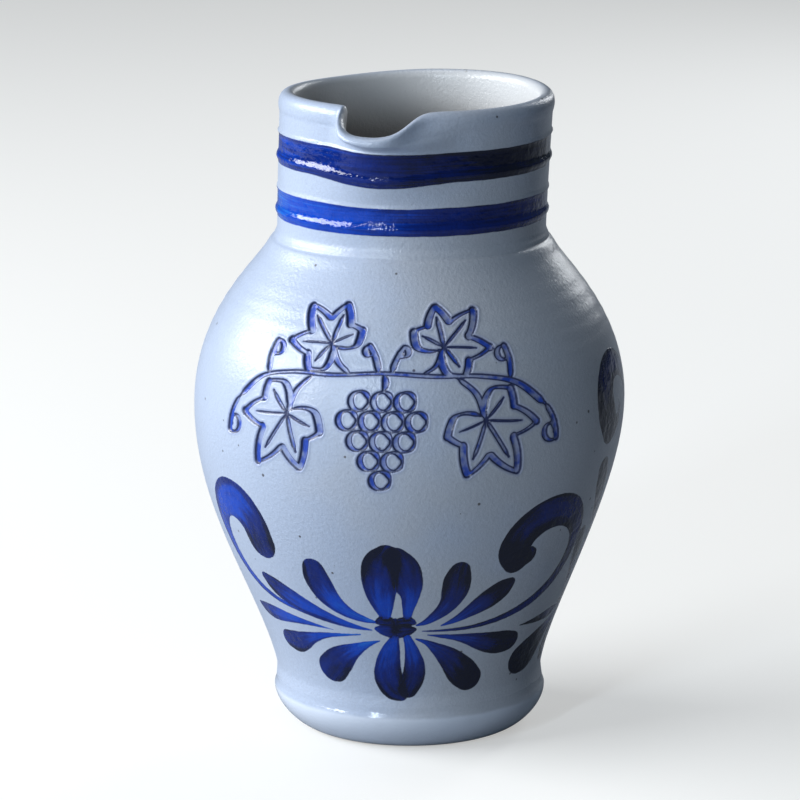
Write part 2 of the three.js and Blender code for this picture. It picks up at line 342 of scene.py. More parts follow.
def wheel_tree():
    tree = bpy.data.node_groups.new("potter's wheel", "GeometryNodeTree")
    for name, kind in wheel_inputs.items():
        tree.interface.new_socket(name, in_out="INPUT", socket_type="NodeSocket" + kind)
    tree.interface.new_socket("Jug", in_out="OUTPUT", socket_type="NodeSocketGeometry")
    given = tree.nodes.new("NodeGroupInput").outputs
    wide = sums("ADD", given["Columns"], 1)
    grid = add("GeometryNodeMeshGrid", 1, 1, wide, given["Rows"])
    index = tree.nodes.new("GeometryNodeInputIndex").outputs[0]
    column = sums("FLOOR", sums("DIVIDE", sums("ADD", index, 0.5), given["Rows"]))
    row = sums("SUBTRACT", index, sums("MULTIPLY", column, given["Rows"]))
    whole_row = sums("ROUND", row)
    place = tree.nodes.new("GeometryNodeInputPosition").outputs[0]
    on_outline = add("GeometryNodeSampleIndex", given["Outline"], place, whole_row,
                     data_type="FLOAT_VECTOR", domain="POINT")
    share = sums("DIVIDE", sums("MULTIPLY", column, 2), given["Columns"])
    share = sums("SUBTRACT", share, 1)
    cube = sums("MULTIPLY", share, sums("MULTIPLY", share, share))
    sparse = sums("MULTIPLY", cube, sums("SUBTRACT", 1, given["Crowding"]))
    crowded = sums("MULTIPLY", share, given["Crowding"])
    turn = sums("MULTIPLY", sums("ADD", crowded, sparse), math.pi)
    turned = add("ShaderNodeVectorRotate", on_outline, (0, 0, 0), turn, rotation_type="Z_AXIS")
    shaped = add("GeometryNodeSetPosition", grid, True, turned)
    marked = add("GeometryNodeStoreNamedAttribute", shaped, True, "row", whole_row,
                 data_type="FLOAT", domain="POINT")
    closed = add("GeometryNodeMergeByDistance", marked, True, seam_gap * mm)
    smooth = add("GeometryNodeSetShadeSmooth", closed, True, True)
    real = add("GeometryNodeRealizeInstances", smooth)
    glazed = add("GeometryNodeSetMaterial", real, True, given["Glaze"])
    tree.links.new(glazed, tree.nodes.new("NodeGroupOutput").inputs[0])
    return tree


def turned_on(wheel, glaze):
    """The plain mesh that the wheel makes of the outline."""
    points = outline[::points_per_row] * mm
    line = bpy.data.meshes.new("outline")
    line.from_pydata([(0, -radius, height) for radius, height in points],
                     [(i, i + 1) for i in range(last_row)], [])
    clay = placed("clay", line)
    modifier = clay.modifiers.new("wheel", "NODES")
    modifier.node_group = wheel
    given = {"Rows": last_row + 1, "Columns": wheel_columns, "Crowding": wheel_crowding, "Glaze": glaze}
    for socket in wheel.interface.items_tree:
        if socket.name in given:
            modifier[socket.identifier] = given[socket.name]
    bpy.context.view_layer.update()
    evaluated = clay.evaluated_get(bpy.context.evaluated_depsgraph_get())
    mesh = bpy.data.meshes.new_from_object(evaluated)
    mesh.materials.pop(index=0)
    clay.modifiers.clear()
    bpy.data.objects.remove(clay)
    return mesh


body_glaze = bpy.data.materials.new("salt_glaze_with_cobalt")
body_mesh = turned_on(wheel_tree(), body_glaze)

# Drawing on the wall
# A place on the wall is a turn from the spout and a measure: how far up the outline it is, where
# each step counts as its share of the radius there. In turn and measure a drawing keeps its shape.
base_edge = base_rows * points_per_row
line_spacing = 0.35
least_half = 0.15
far_outside, farthest_looked = -30, 4
places_at_once = 4000
step_lengths = np.linalg.norm(np.diff(outline, axis=0), axis=1)
step_radii = np.maximum(outline[1:, 0], base_radius)
measures = np.concatenate([[0], np.cumsum(step_lengths / step_radii)])
outside_rows = slice(base_edge, len(outside))
Marks = namedtuple("Marks", "depth along across to_tip half nearest under")


def measure_at(height):
    return np.interp(height, plain_heights[outside_rows], measures[outside_rows])


def radius_at(height):
    return np.interp(height, plain_heights[outside_rows], outline[outside_rows, 0])


def run_along(rights, ups):
    """How far along a line each of its places is."""
    return np.concatenate([[0], np.cumsum(np.hypot(np.diff(rights), np.diff(ups)))])


def drawn(places):
    """A smooth line through a few places, each its degrees, height and half width, as fine samples."""
    degrees, heights, halves = np.array(places, float).T
    turns = np.radians(degrees)
    ups = measure_at(heights)
    knots = run_along(turns, ups)
    scale = radius_at(heights.mean())
    at = np.linspace(0, knots[-1], int(knots[-1] * scale / line_spacing) + 2)
    half = np.maximum(smooth_through(knots, halves, at), least_half)
    return np.column_stack((
        smooth_through(knots, turns, at), smooth_through(knots, ups, at), half, at * scale,
    ))


def depth_inside(lines, turn, measure, radius):
    """How deep each place lies inside the nearest of some drawn lines, which one, and where on it."""
    depth, under = np.full((2, len(turn)), float(far_outside))
    along, across, to_tip, half = np.zeros((4, len(turn)))
    nearest = np.zeros(len(turn), int)
    for number, line in enumerate(lines):
        edge = (line[:, 2].max() + farthest_looked) / waist_radius
        low, high = line[:, :2].min(axis=0) - edge, line[:, :2].max(axis=0) + edge
        near = np.flatnonzero(
            (turn > low[0]) & (turn < high[0]) & (measure > low[1]) & (measure < high[1])
        )
        heading = heading_of(line[:, :2])
        for part in np.array_split(near, len(near) // places_at_once + 1):
            right = turn[part, None] - line[:, 0]
            up = measure[part, None] - line[:, 1]
            inside = line[:, 2] - np.hypot(right, up) * radius[part, None]
            best = inside.argmax(axis=1)
            pick = (np.arange(len(part)), best)
            deeper = inside[pick] > depth[part]
            under[part] = np.maximum(under[part], np.minimum(inside[pick], depth[part]))
            side = heading[best, 0] * up[pick] - heading[best, 1] * right[pick]
            chosen = part[deeper]
            for kept, found in (
                (depth, inside[pick]), (along, line[best, 3]), (to_tip, line[-1, 3] - line[best, 3]),
                (across, side * radius[part] / line[best, 2]), (half, line[best, 2]),
            ):
                kept[chosen] = found[deeper]
            nearest[chosen] = number
    return Marks(depth, along, across, to_tip, half, nearest, under)


# Brushwork
# Cobalt laid on the raw clay with a full round brush, round a knot low on the front: each leaf is
# one stroke, lifted to a point at the knot and pressed out at its far end. Every line below starts
# at its thin end. A place is the turn from the spout in degrees, the height and half the width.
knot = [
    [(0.0, 50.6, 1.0), (3, 50.2, 2.7), (6.5, 49.9, 3.3), (10, 50.2, 2.7), (13.0, 50.6, 1.0)],
    [(0.2, 53.4, 0.9), (2.2, 54.1, 2.1), (4.6, 53.8, 2.2)],
    [(13.0, 53.4, 0.9), (11.3, 54.1, 2.1), (8.8, 53.8, 2.2)],
    [(6.7, 54.6, 0.9), (6.6, 52.5, 1.9), (6.5, 50.5, 2.3)],
]
petals = [
    [(3.6, 55.2, 1.6), (2.9, 60, 3.6), (2.4, 66, 5.6), (2.7, 72.5, 7.0), (3.6, 78.2, 6.9),
     (4.9, 81, 5.4)],
    [(10.6, 55, 1.3), (11.2, 60, 2.3), (11.8, 66, 3.8), (10.8, 71.5, 5.9), (9.8, 77, 5.7),
     (7.6, 80.6, 4.8)],
    [(6.2, 47.2, 1.4), (4.3, 41.4, 3.4), (2.8, 35, 4.7), (2.8, 29, 5.3), (4.6, 25.2, 4.5),
     (7.2, 23.2, 2.8)],
    [(10.6, 47, 1.5), (12.2, 41.4, 2.6), (13.2, 35, 3.8), (12.3, 29, 4.1), (10.4, 25, 3.4)],
]
left_leaves = [
    [(0.4, 53.2, 0.4), (-4, 54.3, 1.4), (-9.2, 56.5, 2.4), (-13, 59.5, 3.6), (-15.9, 63.2, 4.8),
     (-17.4, 66.8, 5.5), (-18.4, 70.4, 5.5), (-18.7, 73.6, 4.7)],
    [(-2, 49.9, 0.3), (-6.2, 50.5, 0.9), (-12.6, 52, 1.7), (-20, 54.3, 2.8), (-27, 57.1, 3.9),
     (-33, 60, 4.4), (-38.4, 63.2, 3.7), (-41.6, 65.8, 1.7)],
    [(-17, 48.4, 0.2), (-21.5, 48.9, 0.5), (-27.5, 49.4, 1.1), (-35, 49.7, 2.0), (-42, 49.8, 3.0),
     (-47.5, 49.9, 3.2), (-51.6, 50.3, 2.4), (-54.6, 51.3, 0.9)],
    [(-6.5, 47.6, 0.3), (-12, 46.9, 0.6), (-19, 45.8, 1.1), (-25, 44.2, 1.9), (-29.5, 42.5, 2.9),
     (-33.5, 40.8, 4.0), (-37.4, 39.7, 4.7), (-41.4, 39.8, 4.1)],
    [(0.5, 45.4, 0.3), (-2.5, 44.4, 0.9), (-6, 42.8, 1.8), (-9.5, 40.9, 2.8), (-13.4, 38.6, 4.2),
     (-17.3, 35.6, 5.6), (-21.2, 31.9, 6.2)],
]
right_leaves = [
    [(14, 52.4, 0.4), (16.6, 53.4, 1.1), (20.1, 56, 2.1), (23.3, 59.3, 3.1), (25.3, 63, 4.2),
     (26.3, 67.3, 5.3), (26.6, 71.8, 5.1), (27, 74.8, 3.9)],
    [(22.6, 51.9, 0.3), (27.3, 54, 1.4), (31.4, 56.6, 2.5), (35.5, 59.5, 3.8), (39.6, 62.4, 4.7),
     (42.9, 65, 4.2), (45.3, 67.1, 2.3)],
    [(18, 48.1, 0.3), (22.5, 47.4, 0.8), (28, 46.5, 1.4), (33.5, 45.2, 2.5), (38.5, 43.7, 3.7),
     (44.5, 42.2, 4.8), (49.5, 41.5, 5.0), (52.8, 41.3, 4.3)],
    [(13.8, 46.5, 0.4), (17.8, 44.8, 1.2), (21.2, 42.4, 2.3), (25.2, 39.3, 3.8), (29.4, 35.2, 5.1),
     (33.2, 31, 5.9), (35.8, 28.6, 5.4)],
]
left_scroll = [
    [(-3, 50.2, 0.3), (-15, 51.7, 0.6), (-30, 54.6, 0.8), (-40, 57.3, 1.1), (-46.4, 60.6, 1.5),
     (-51.6, 65.6, 1.9), (-55, 71.8, 2.5), (-56.6, 79.5, 3.4), (-56.2, 86.2, 4.8), (-53.6, 92.2, 6.4),
     (-48.6, 95.4, 7.9), (-43, 93.9, 8.4), (-38.8, 88.2, 7.9), (-37.2, 81.1, 7.3)],
]
right_scroll = [
    [(16, 49.8, 0.3), (24, 49.8, 0.6), (34, 50.3, 0.9), (44, 52.1, 1.3), (52.4, 54.7, 1.7),
     (60.6, 58.9, 2.1), (66.6, 64.1, 2.5), (70, 70.2, 2.8), (71.2, 76.8, 3.3), (70.2, 83.4, 4.3),
     (66.3, 89.6, 5.6), (60.6, 93.1, 6.6), (54.8, 93.2, 7.0), (49.4, 90.6, 7.2), (45.6, 85.9, 7.3),
     (44.2, 80.5, 7.0), (45.6, 76.6, 5.9)],
    [(50.3, 80.2, 0.9), (51.5, 78.5, 1.5), (50.8, 76.5, 2.2), (48.6, 75.4, 2.6)],
]
side_scroll = [
    [(86, 52, 0.4), (88.4, 62, 1.0), (91, 76, 1.4), (94, 92, 1.6), (96.2, 108, 2.0), (96.6, 121, 2.6),
     (95, 131, 3.5), (90.8, 139, 4.5), (84.4, 142.4, 5.2), (78.4, 140.6, 6.0), (75, 134.4, 6.9),
     (75.2, 127, 7.4), (77.6, 120.4, 6.8)],
    [(84.6, 128.6, 0.3), (85, 125.4, 0.9), (83.6, 121.4, 2.0), (80.6, 118.6, 3.2)],
]
side_leaves = [
    [(86.4, 53, 0.4), (87.4, 63, 1.0), (87.2, 74, 1.8), (85.2, 84, 3.0), (82, 92.4, 4.3),
     (79.4, 99.2, 4.8), (77.8, 104.4, 4.2)],
    [(84.4, 52, 0.4), (82.6, 58, 1.3), (80.2, 65.4, 2.6), (78, 73, 3.6), (76.6, 79.4, 2.8)],
    [(84.6, 49.4, 0.3), (80, 48.6, 1.2), (74, 47.8, 2.1), (67.6, 47.3, 1.6), (61, 47, 0.8),
     (56, 46.9, 0.2)],
    [(83.6, 46.6, 0.5), (79.4, 43, 2.4), (75, 39.4, 4.6), (70.4, 35.8, 6.6), (66, 33, 7.4),
     (63, 32, 6.7)],
]
side_knot = [
    [(81.6, 50.4, 1.0), (84.8, 49.9, 2.4), (88.2, 50.3, 1.0)],
    [(83.4, 53.2, 0.9), (85.2, 52.4, 1.8), (87.2, 53.2, 0.9)],
    [(85, 46.6, 0.5), (85.2, 41.6, 2.0), (85.4, 36.4, 3.5), (85.4, 32, 4.0), (85.2, 29, 3.2)],
]
side_axis = 87.5
left_side_shift = -16


def mirrored(strokes, degrees_sum):
    """The same strokes on the other side of an upright line, at half that sum of degrees."""
    return [[(degrees_sum - turn, height, half) for turn, height, half in line] for line in strokes]


far_leaves = mirrored(side_leaves[1:], 2 * side_axis)
right_side = side_scroll + side_leaves + far_leaves + side_knot
left_side = mirrored(right_side, left_side_shift)
# Each group's load thickens and darkens its blue. The groups on the right carry more, partly as painted
# shade.
brushwork = (
    (right_scroll, 0.78), (left_scroll, 0.24), (left_leaves, 0.17), (right_leaves, 0.54), (petals, 0.38),
    (knot, 0.5), (right_side, 0.85), (left_side, 0.3),
)
brush_lines = [drawn(line) for strokes, _ in brushwork for line in strokes]
brush_loads_and_shade = np.concatenate([np.full(len(strokes), load) for strokes, load in brushwork])

# Incised vine
# Where the front is cut, a round-ended tool opens channels in the soft clay before it is painted: a
# garland of vine with a bunch of grapes, leaves and tendrils. Like a broad pen, the tool cuts wide
# where it moves down and fine where it moves across. Places are millimetres round the vine's middle.
nib_broad, nib_fine, nib_fall = 1.5, 0.55, 1.5
nib_angle = math.radians(12)
cut_taper, least_taper = (-1, 3), 0.45
vine_middle = (3.5, 141)
stem = (
    (-61, -5), (-51, 4), (-38, 7.4), (-20, 8), (0, 9.5), (20, 8.4), (38, 7.6), (52, 4), (63, -5),
)
stalks = [
    ((-13, 8.7), (-18.5, 13), (-22.5, 20.5)), ((14, 8.7), (20, 12.5), (23.5, 20)),
    ((-28, 7.4), (-34, 1), (-37, -8)), ((28, 7.6), (35, 1), (38, -8.5)), ((0, 9.4), (0.9, 6), (0, 2.4)),
]
vine_leaves = [
    (-22.5, 20.5, 22, 131), (23.5, 20, 22.5, 47), (-37, -8, 24, 236), (38, -8.5, 24.5, -57),
]
leaf_lobes = ((0, 1), (50, 0.86), (-50, 0.86), (102, 0.62), (-102, 0.62))
lobe_spread, lobe_point, leaf_sinus = 27, 1.25, 0.5
leaf_heel, leaf_end, heel_drawn_in = 125, 166, 0.8
vein_start, vein_share, vein_bow, vein_straight = 0.02, 0.7, 0.12, 0.4
bunch, bunch_top = (3, 4, 3, 2, 1), -1
berry_radius, berry_step, berry_drop = 3.45, 8.5, 7.3
tendrils = [
    (-61, -5, 226, 5.2, 1), (63, -5, -46, 5.2, -1), (-48, 5.6, 112, 4.4, -1), (49, 5.6, 68, 4.4, 1),
    (-2, 9.4, 95, 3.1, 1), (3, 9.4, 83, 3.1, -1),
]
tendril_turns, tendril_tightens, tendril_curl = 1.25, 1.1, 0.75
tendril_run, tendril_run_share = 9, 0.25
leaf_places, vein_places, tendril_places, berry_places = 330, 50, 220, 70
stem_weight, stalk_weight, tendril_weight, berry_weight, vein_weight = 1.15, 0.8, 0.8, 0.75, 0.55


def cut_line(right, up, weight=1.0):
    """A line as the tool cuts it into the wall, whose width goes with its direction."""
    angle = np.arctan2(np.gradient(up), np.gradient(right))
    half = nib_fine + (nib_broad - nib_fine) * np.abs(np.sin(angle - nib_angle)) ** nib_fall
    along = run_along(right, up)
    taper = smooth_step(np.minimum(along, along[-1] - along), *cut_taper)
    turns = math.radians(vine_middle[0]) + right / belly_radius
    ups = measure_at(vine_middle[1]) + up / belly_radius
    return np.column_stack((turns, ups, half * weight * np.maximum(taper, least_taper), along))


def cut_through(places, weight):
    """A smooth line through a few places."""
    rights, ups = np.array(places, float).T
    knots = run_along(rights, ups)
    at = np.linspace(0, knots[-1], int(knots[-1] / line_spacing) + 2)
    return cut_line(smooth_through(knots, rights, at), smooth_through(knots, ups, at), weight)


def facing(right, up, angle, ahead, aside):
    """Places ahead of and beside a place, when facing at an angle there."""
    cos, sin = math.cos(math.radians(angle)), math.sin(math.radians(angle))
    return right + ahead * cos - aside * sin, up + ahead * sin + aside * cos


def vine_leaf(right, up, length, angle):
    around = np.linspace(-leaf_end, leaf_end, leaf_places)
    reach = leaf_sinus * (1 - smooth_step(np.abs(around), leaf_heel, leaf_end) * heel_drawn_in)
    for middle, lobe in leaf_lobes:
        near = np.clip(1 - np.abs(around - middle) / lobe_spread, 0, 1)
        reach = reach + (lobe - leaf_sinus) * near**lobe_point
    spread = np.radians(around)
    edge = (length * reach * np.cos(spread), length * reach * np.sin(spread))
    lines = [cut_line(*facing(right, up, angle, *edge))]
    for middle, lobe in leaf_lobes:
        run = np.linspace(vein_start, lobe * vein_share, vein_places) * length
        bow = np.radians(middle * (1 + vein_bow * (run / length - vein_straight)))
        vein = (run * np.cos(bow), run * np.sin(bow))
        lines.append(cut_line(*facing(right, up, angle, *vein), vein_weight))
    return lines


def tendril(right, up, angle, size, hand):
    """A shoot that runs ahead a little way and winds itself up."""
    winding = np.linspace(0, 1, tendril_places)
    turned = tendril_turns * 2 * math.pi * winding**tendril_tightens
    radius = size * (1 - tendril_curl * winding)
    ahead = tendril_run * np.minimum(winding / tendril_run_share, 1) + radius * np.sin(turned)
    aside = hand * (size - radius * np.cos(turned))
    return cut_line(*facing(right, up, angle, ahead, aside), tendril_weight)


def grapes():
    around = np.linspace(0, 2 * math.pi, berry_places)
    lines = []
    for row, count in enumerate(bunch):
        for i in range(count):
            right = (i - (count - 1) / 2) * berry_step + berry_radius * np.cos(around)
            up = bunch_top - row * berry_drop + berry_radius * np.sin(around)
            lines.append(cut_line(right, up, berry_weight))
    return lines


cut_lines = [cut_through(stem, stem_weight), *grapes()]
cut_lines += [cut_through(stalk, stalk_weight) for stalk in stalks]
cut_lines += [line for leaf in vine_leaves for line in vine_leaf(*leaf)]
cut_lines += [tendril(*shoot) for shoot in tendrils]

# Cutting and painting the wall
# The wheel's mesh is divided again wherever a brushed or cut edge runs, then every point is put on
# the wall, down in the channel or up on its burr, and told what the glaze needs to know.
channel_depth, channel_wall, shallowest = 0.95, 0.75, 0.4
burr_height, burr_width, burr_soft = 0.22, 0.6, 0.6
near_brush, near_cut, near_lip, lip_foot = 1.4, 1.7, math.radians(28), 221
at_brush, at_cut, fine_stroke = 0.6, 0.75, 1.6
nowhere = -9


def wall_marks(turn, row):
    """What is brushed and what is cut at each place of the wheel's mesh."""
    measure = np.interp(row, fine_rows, measures)
    radius = np.interp(row, fine_rows, outline[:, 0])
    hidden = (row > outer_rows) | (row < base_edge / points_per_row)
    measure = np.where(hidden, nowhere, measure)
    return depth_inside(brush_lines, turn, measure, radius), depth_inside(cut_lines, turn, measure, radius)


def divided(body, wanted):
    """Divides the faces of which a point is wanted."""
    edges = {edge for face in body.faces if any(wanted[v.index] for v in face.verts) for edge in face.edges}
    bmesh.ops.subdivide_edges(body, edges=list(edges), cuts=1, use_grid_fill=True)
    body.verts.index_update()


def places_of(body):
    rows = body.verts.layers.float["row"]
    table = np.array([(v.co.x, -v.co.y, v[rows]) for v in body.verts])
    return np.arctan2(table[:, 0], table[:, 1]), table[:, 2]


body = bmesh.new()
body.from_mesh(body_mesh)
turn, row = places_of(body)
brushed, cut = wall_marks(turn, row)
drawn_lip = (np.abs(turn - lip_middle) < near_lip) & (np.interp(row, fine_rows, outline[:, 1]) > lip_foot)
divided(body, (np.abs(brushed.depth) < near_brush) | (cut.depth > -near_cut) | drawn_lip)
brushed, cut = wall_marks(*places_of(body))
fine_brush = (np.abs(brushed.depth) < at_brush) & (brushed.half < fine_stroke)
divided(body, (cut.depth > -at_cut) | fine_brush)
turn, row = places_of(body)
body.to_mesh(body_mesh)
body.free()

brushed, cut = wall_marks(turn, row)
into = smooth_step(cut.depth, -channel_wall / 2, channel_wall / 2)
burr = np.exp(-((cut.depth + burr_width) / (burr_soft * burr_width)) ** 2)
shallow = np.clip(cut.half / nib_broad, shallowest, 1)
lift = burr_height * burr * shallow - channel_depth * into * shallow
places = jug_wall(turn, row, lift) * mm
body_mesh.vertices.foreach_set("co", places.ravel())


def keep_on(mesh, name, values):
    """Stores a number, or three, on each point of a mesh."""
    kind, field = ("FLOAT", "value") if values.ndim == 1 else ("FLOAT_VECTOR", "vector")
    attribute = mesh.attributes.new(name, kind, "POINT")
    attribute.data.foreach_set(field, values.astype(np.float32).ravel())


keep_on(body_mesh, "brushed", brushed.depth)
keep_on(body_mesh, "stroke", np.column_stack((brushed.along, brushed.across, brushed.to_tip)))
keep_on(body_mesh, "laid", np.column_stack((brush_loads_and_shade[brushed.nearest], brushed.under, brushed.nearest)))
keep_on(body_mesh, "cut", cut.depth)
keep_on(body_mesh, "rise", np.interp(row, fine_rows, plain_heights))
keep_on(body_mesh, "within", smooth_step(row, outer_rows - 2, outer_rows + 4))
body_mesh.attributes.remove(body_mesh.attributes["row"])

# The wall unrolled
# A map of the skin, on which its finish can be kept as a picture: the turn goes across and the
# outline goes up, and the painted outside has most of the room.
map_margin, pole_reach, seam_turn = 0.004, 0.002, 0.0001
unrolled_rows = (0, base_edge / points_per_row, outer_rows, last_row)
unrolled_ups = (map_margin, 0.03, 0.8, 1 - map_margin)
corners = np.zeros(len(body_mesh.loops), int)
body_mesh.loops.foreach_get("vertex_index", corners)
sizes = np.array([face.loop_total for face in body_mesh.polygons])
face_of = np.repeat(np.arange(len(sizes)), sizes)
at_pole = np.hypot(places[corners, 0], places[corners, 1]) < pole_reach
at_seam = np.abs(turn[corners]) > math.pi - seam_turn
known = ~(at_pole | at_seam)
middle = np.bincount(face_of, turn[corners] * known) / np.bincount(face_of, known)
corner_turn = np.where(at_pole, middle[face_of], turn[corners])
corner_turn = np.where(at_seam & ~at_pole, math.pi * np.sign(middle[face_of]), corner_turn)
across = map_margin + (1 - 2 * map_margin) * (0.5 + corner_turn / (2 * math.pi))
up = np.interp(row[corners], unrolled_rows, unrolled_ups)
unrolled = body_mesh.uv_layers.new(name="OFBake")
unrolled.data.foreach_set("uv", np.column_stack((across, up)).astype(np.float32).ravel())

# Salt glaze
# Salt thrown into the hot kiln leaves a thin clear skin on the grey clay, pitted like orange peel.
# Smoke and ash make it bluer here and browner there, and painted shade makes its right side
# browner still. Grains of iron burn through as dark specks.
glaze_cool, glaze_warm = (0.38, 0.44, 0.555, 1), (0.41, 0.435, 0.48, 1)
# Deeper inside, the glaze is painted darker and browner: partly painted shade, partly the browner glaze
# that the inside of such a jug has.
glaze_inside, deep_glaze_and_shade = (0.53, 0.535, 0.54, 1), (0.19, 0.172, 0.155, 1)
glaze_foot, glaze_grain = (0.60, 0.65, 0.74, 1), (0.25, 0.27, 0.32, 1)
bare_clay, speck_brown = (0.36, 0.33, 0.29, 1), (0.045, 0.035, 0.03, 1)
smoke_size, warm_shade_drift, grain_size = 55, 6, 0.9
specks_per_metre, speck_least, speck_grows = 150, 0.006, 0.11
peel_size, peel_depth, pit_size, pit_share = 1.3, 0.13, 0.45, 0.5
glaze_shine, least_dull, dull_patches, dull_patch_size = 0.45, 0.23, 0.16, 14
# Ramps: the two ends between which each changes and, where they aren't 0 and 1, its values there.
smoke_and_shade_turn_warm, grain_shows = (0.4, 0.85), (0.35, 0.7, 0, 0.24)
speck_is_kept, speck_fades = (0.45, 0.8), (0.55, 1, 0.85, 0)


def shaded(material):
    """A material's node tree and its shader."""
    material.use_nodes = True
    tree = material.node_tree
    return tree, tree.nodes["Principled BSDF"]


def attribute(tree, name, output="Fac"):
    node = tree.nodes.new("ShaderNodeAttribute")
    node.attribute_name = name
    return node.outputs[output]


def noise(vector, size, detail=2.0, roughness=0.5):
    """Noise between 0 and 1 whose lumps are about that many millimetres across."""
    return add("ShaderNodeTexNoise", vector, 1 / (size * mm), detail, roughness)


def ramp(value, low, high, start=0.0, end=1.0):
    """Start below low, end above high, and a smooth step between them."""
    return add("ShaderNodeMapRange", value, low, high, start, end, interpolation_type="SMOOTHSTEP")


def mix(share, first, second):
    return add("ShaderNodeMix", share, first, second, data_type="RGBA")


def lessened(value, share, most):
    """A value made less by that much of itself where a share is whole."""
    return sums("MULTIPLY", value, sums("MULTIPLY_ADD", share, -most, 1))


def object_place(tree):
    return tree.nodes.new("ShaderNodeTexCoord").outputs["Object"]


def parts_of(vector):
    """The three numbers of a vector. A place's are how far right, how far back and how high it is."""
    return add("ShaderNodeSeparateXYZ", vector).node.outputs


def glaze_colour(place):
    smoke_and_shade = noise(place, smoke_size, 3)
    # Painted shade: a drift along the jug makes its right side browner.
    smoke_and_shade = sums("MULTIPLY_ADD", parts_of(place)[0], warm_shade_drift, smoke_and_shade)
    colour = mix(ramp(smoke_and_shade, *smoke_and_shade_turn_warm), glaze_cool, glaze_warm)
    grain = ramp(noise(place, grain_size, 3, 0.7), *grain_shows)
    colour = mix(grain, colour, glaze_grain)
    cells = add("ShaderNodeTexVoronoi", place, specks_per_metre).node.outputs
    kept = ramp(cells["Color"], *speck_is_kept)
    size = sums("MULTIPLY_ADD", kept, speck_grows, speck_least)
    speck = ramp(sums("DIVIDE", cells["Distance"], size), *speck_fades)
    return mix(speck, colour, speck_brown)


def peel(place):
    """The height of the orange peel, as a share of its depth."""
    pits = noise(place, pit_size, 1)
    return sums("MULTIPLY_ADD", pits, pit_share, noise(place, peel_size, 1.5))


def dullness(place):
    return sums("MULTIPLY_ADD", noise(place, dull_patch_size, 3), dull_patches, least_dull)


def give_skin(tree, shader, colour, dull, height):
    """Ends a glaze: its colour, how dull it is and how high it stands."""
    tree.links.new(colour, shader.inputs["Base Color"])
    shader.inputs["Specular IOR Level"].default_value = glaze_shine
    tree.links.new(dull, shader.inputs["Roughness"])
    bump = add("ShaderNodeBump", 1.0, peel_depth * mm, None, height)
    tree.links.new(bump, shader.inputs["Normal"])


# Cobalt
# Painted thin it fires bright blue, and where the brush rests or two strokes meet nearly black. A
# line of thicker colour dries along each edge, and the hairs leave streaks along the stroke. The
# glaze over it is glossier and lumpier. The bands were laid on the wheel, and are painted darker
# towards the right as painted shade.
blue_sheer, blue_thin = (0.012, 0.12, 0.5, 1), (0.001, 0.044, 0.38, 1)
blue_full, blue_thick = (0.001, 0.012, 0.13, 1), (0.001, 0.003, 0.018, 1)
blue_in_cut = (0.002, 0.008, 0.06, 1)
edge_soft, side_foot, cut_tint_size = 0.2, 0.1, 5
handle_root_middle, handle_root_reach = (1.8, 217.5), (22.5, 14.5)
streak_length, cloud_size, pool_size = 26, 24, 11
hairs_per_half, hair_drawn_out, brush_tilt = 3, 0.03, 0.12
lump_size, lump_height, lump_sunk = 4, 3.9, 1.3
gloss_over_blue, peel_lost_over_blue, bare_dullness = 0.78, 0.6, 0.45
foot_wobble, band_wobble, stroke_wobble = (12, 0.8), (6, 0.5), (2.2, 0.3)
# Ramps again, first those of the glaze and the blue, then those that add to the blue's thickness.
bare_below, inside_pales = (0.2 * mm, 1.2 * mm, 1, 0), (shoulder_height + 28, rim_height - 4)
foot_pales, foot_shines = (ledge_edge - 0.6, ledge_edge + 0.9, 0.8, 0), (ledge_top, ledge_top + 3, 0.9, 0)
sheer_to_thin, thin_to_full, full_to_thick = (-0.35, 0), (0, 0.55), (0.5, 1.05)
cut_tint, cut_pools = (0.35, 0.62, 0.35, 0.95), (0, 0.5)
cut_haze, side_foot_line = (-1.6, 0, 0, 0.22), (0.1, 0.5, 0.94, 0)
band_load, band_shade_right = (band_feet[1] - 6, band_feet[1] - 2, 0.05, 0.4), (-50 * mm, 45 * mm, -0.18, 0.58)
band_streaks, band_clouds = (0.3, 0.7, -0.16, 0.16), (0.3, 0.7, -0.12, 0.16)
dried_edge, pushed_to_side = (0, 1.1, 0.12, 0), (0.35, 1, -0.1, 0.24)
hair_streaks, pools = (0.32, 0.68, -0.11, 0.13), (0.35, 0.7, -0.07, 0.1)
brush_rests, brush_starts, strokes_meet = (0, 18, 0.55, -0.04), (1, 16, -0.25, 0), (-1.2, 2.2, 0, 0.6)


def cobalt(thickness):
    blue = mix(ramp(thickness, *sheer_to_thin), blue_sheer, blue_thin)
    blue = mix(ramp(thickness, *thin_to_full), blue, blue_full)
    return mix(ramp(thickness, *full_to_thick), blue, blue_thick)


def laid(depth, *shares):
    """Where a stroke is, by how deep places lie in it, and its blue, by the shares of its thickness."""
    thickness = shares[0]
    for share in shares[1:]:
        thickness = sums("ADD", thickness, share)
    return ramp(depth, -edge_soft, edge_soft), cobalt(thickness)


def wobbled(place, depth, size, amount):
    """A depth made uneven by about that much, in patches of that size."""
    wobble = sums("SUBTRACT", noise(place, size, 2), 0.5)
    return sums("MULTIPLY_ADD", wobble, amount, depth)


def scaled(vector, *factors):
    return add("ShaderNodeVectorMath", vector, factors, operation="MULTIPLY")


def root_gap(place):
    """How far a place at the back is from the handle's upper root, which the brush goes round."""
    beside, above = handle_root_reach
    middle = (handle_root_middle[0] * mm, 0, handle_root_middle[1] * mm)
    away = add("ShaderNodeVectorMath", place, middle, operation="SUBTRACT")
    away = scaled(away, 1 / beside / mm, 0, 1 / above / mm)
    gap = sums("SUBTRACT", add("ShaderNodeVectorMath", away, operation="LENGTH"), 1)
    return sums("MULTIPLY", gap, above)


def band_depth(rise, foot, tall):
    off = sums("ABSOLUTE", sums("SUBTRACT", rise, foot + tall / 2))
    return sums("SUBTRACT", tall / 2, off)


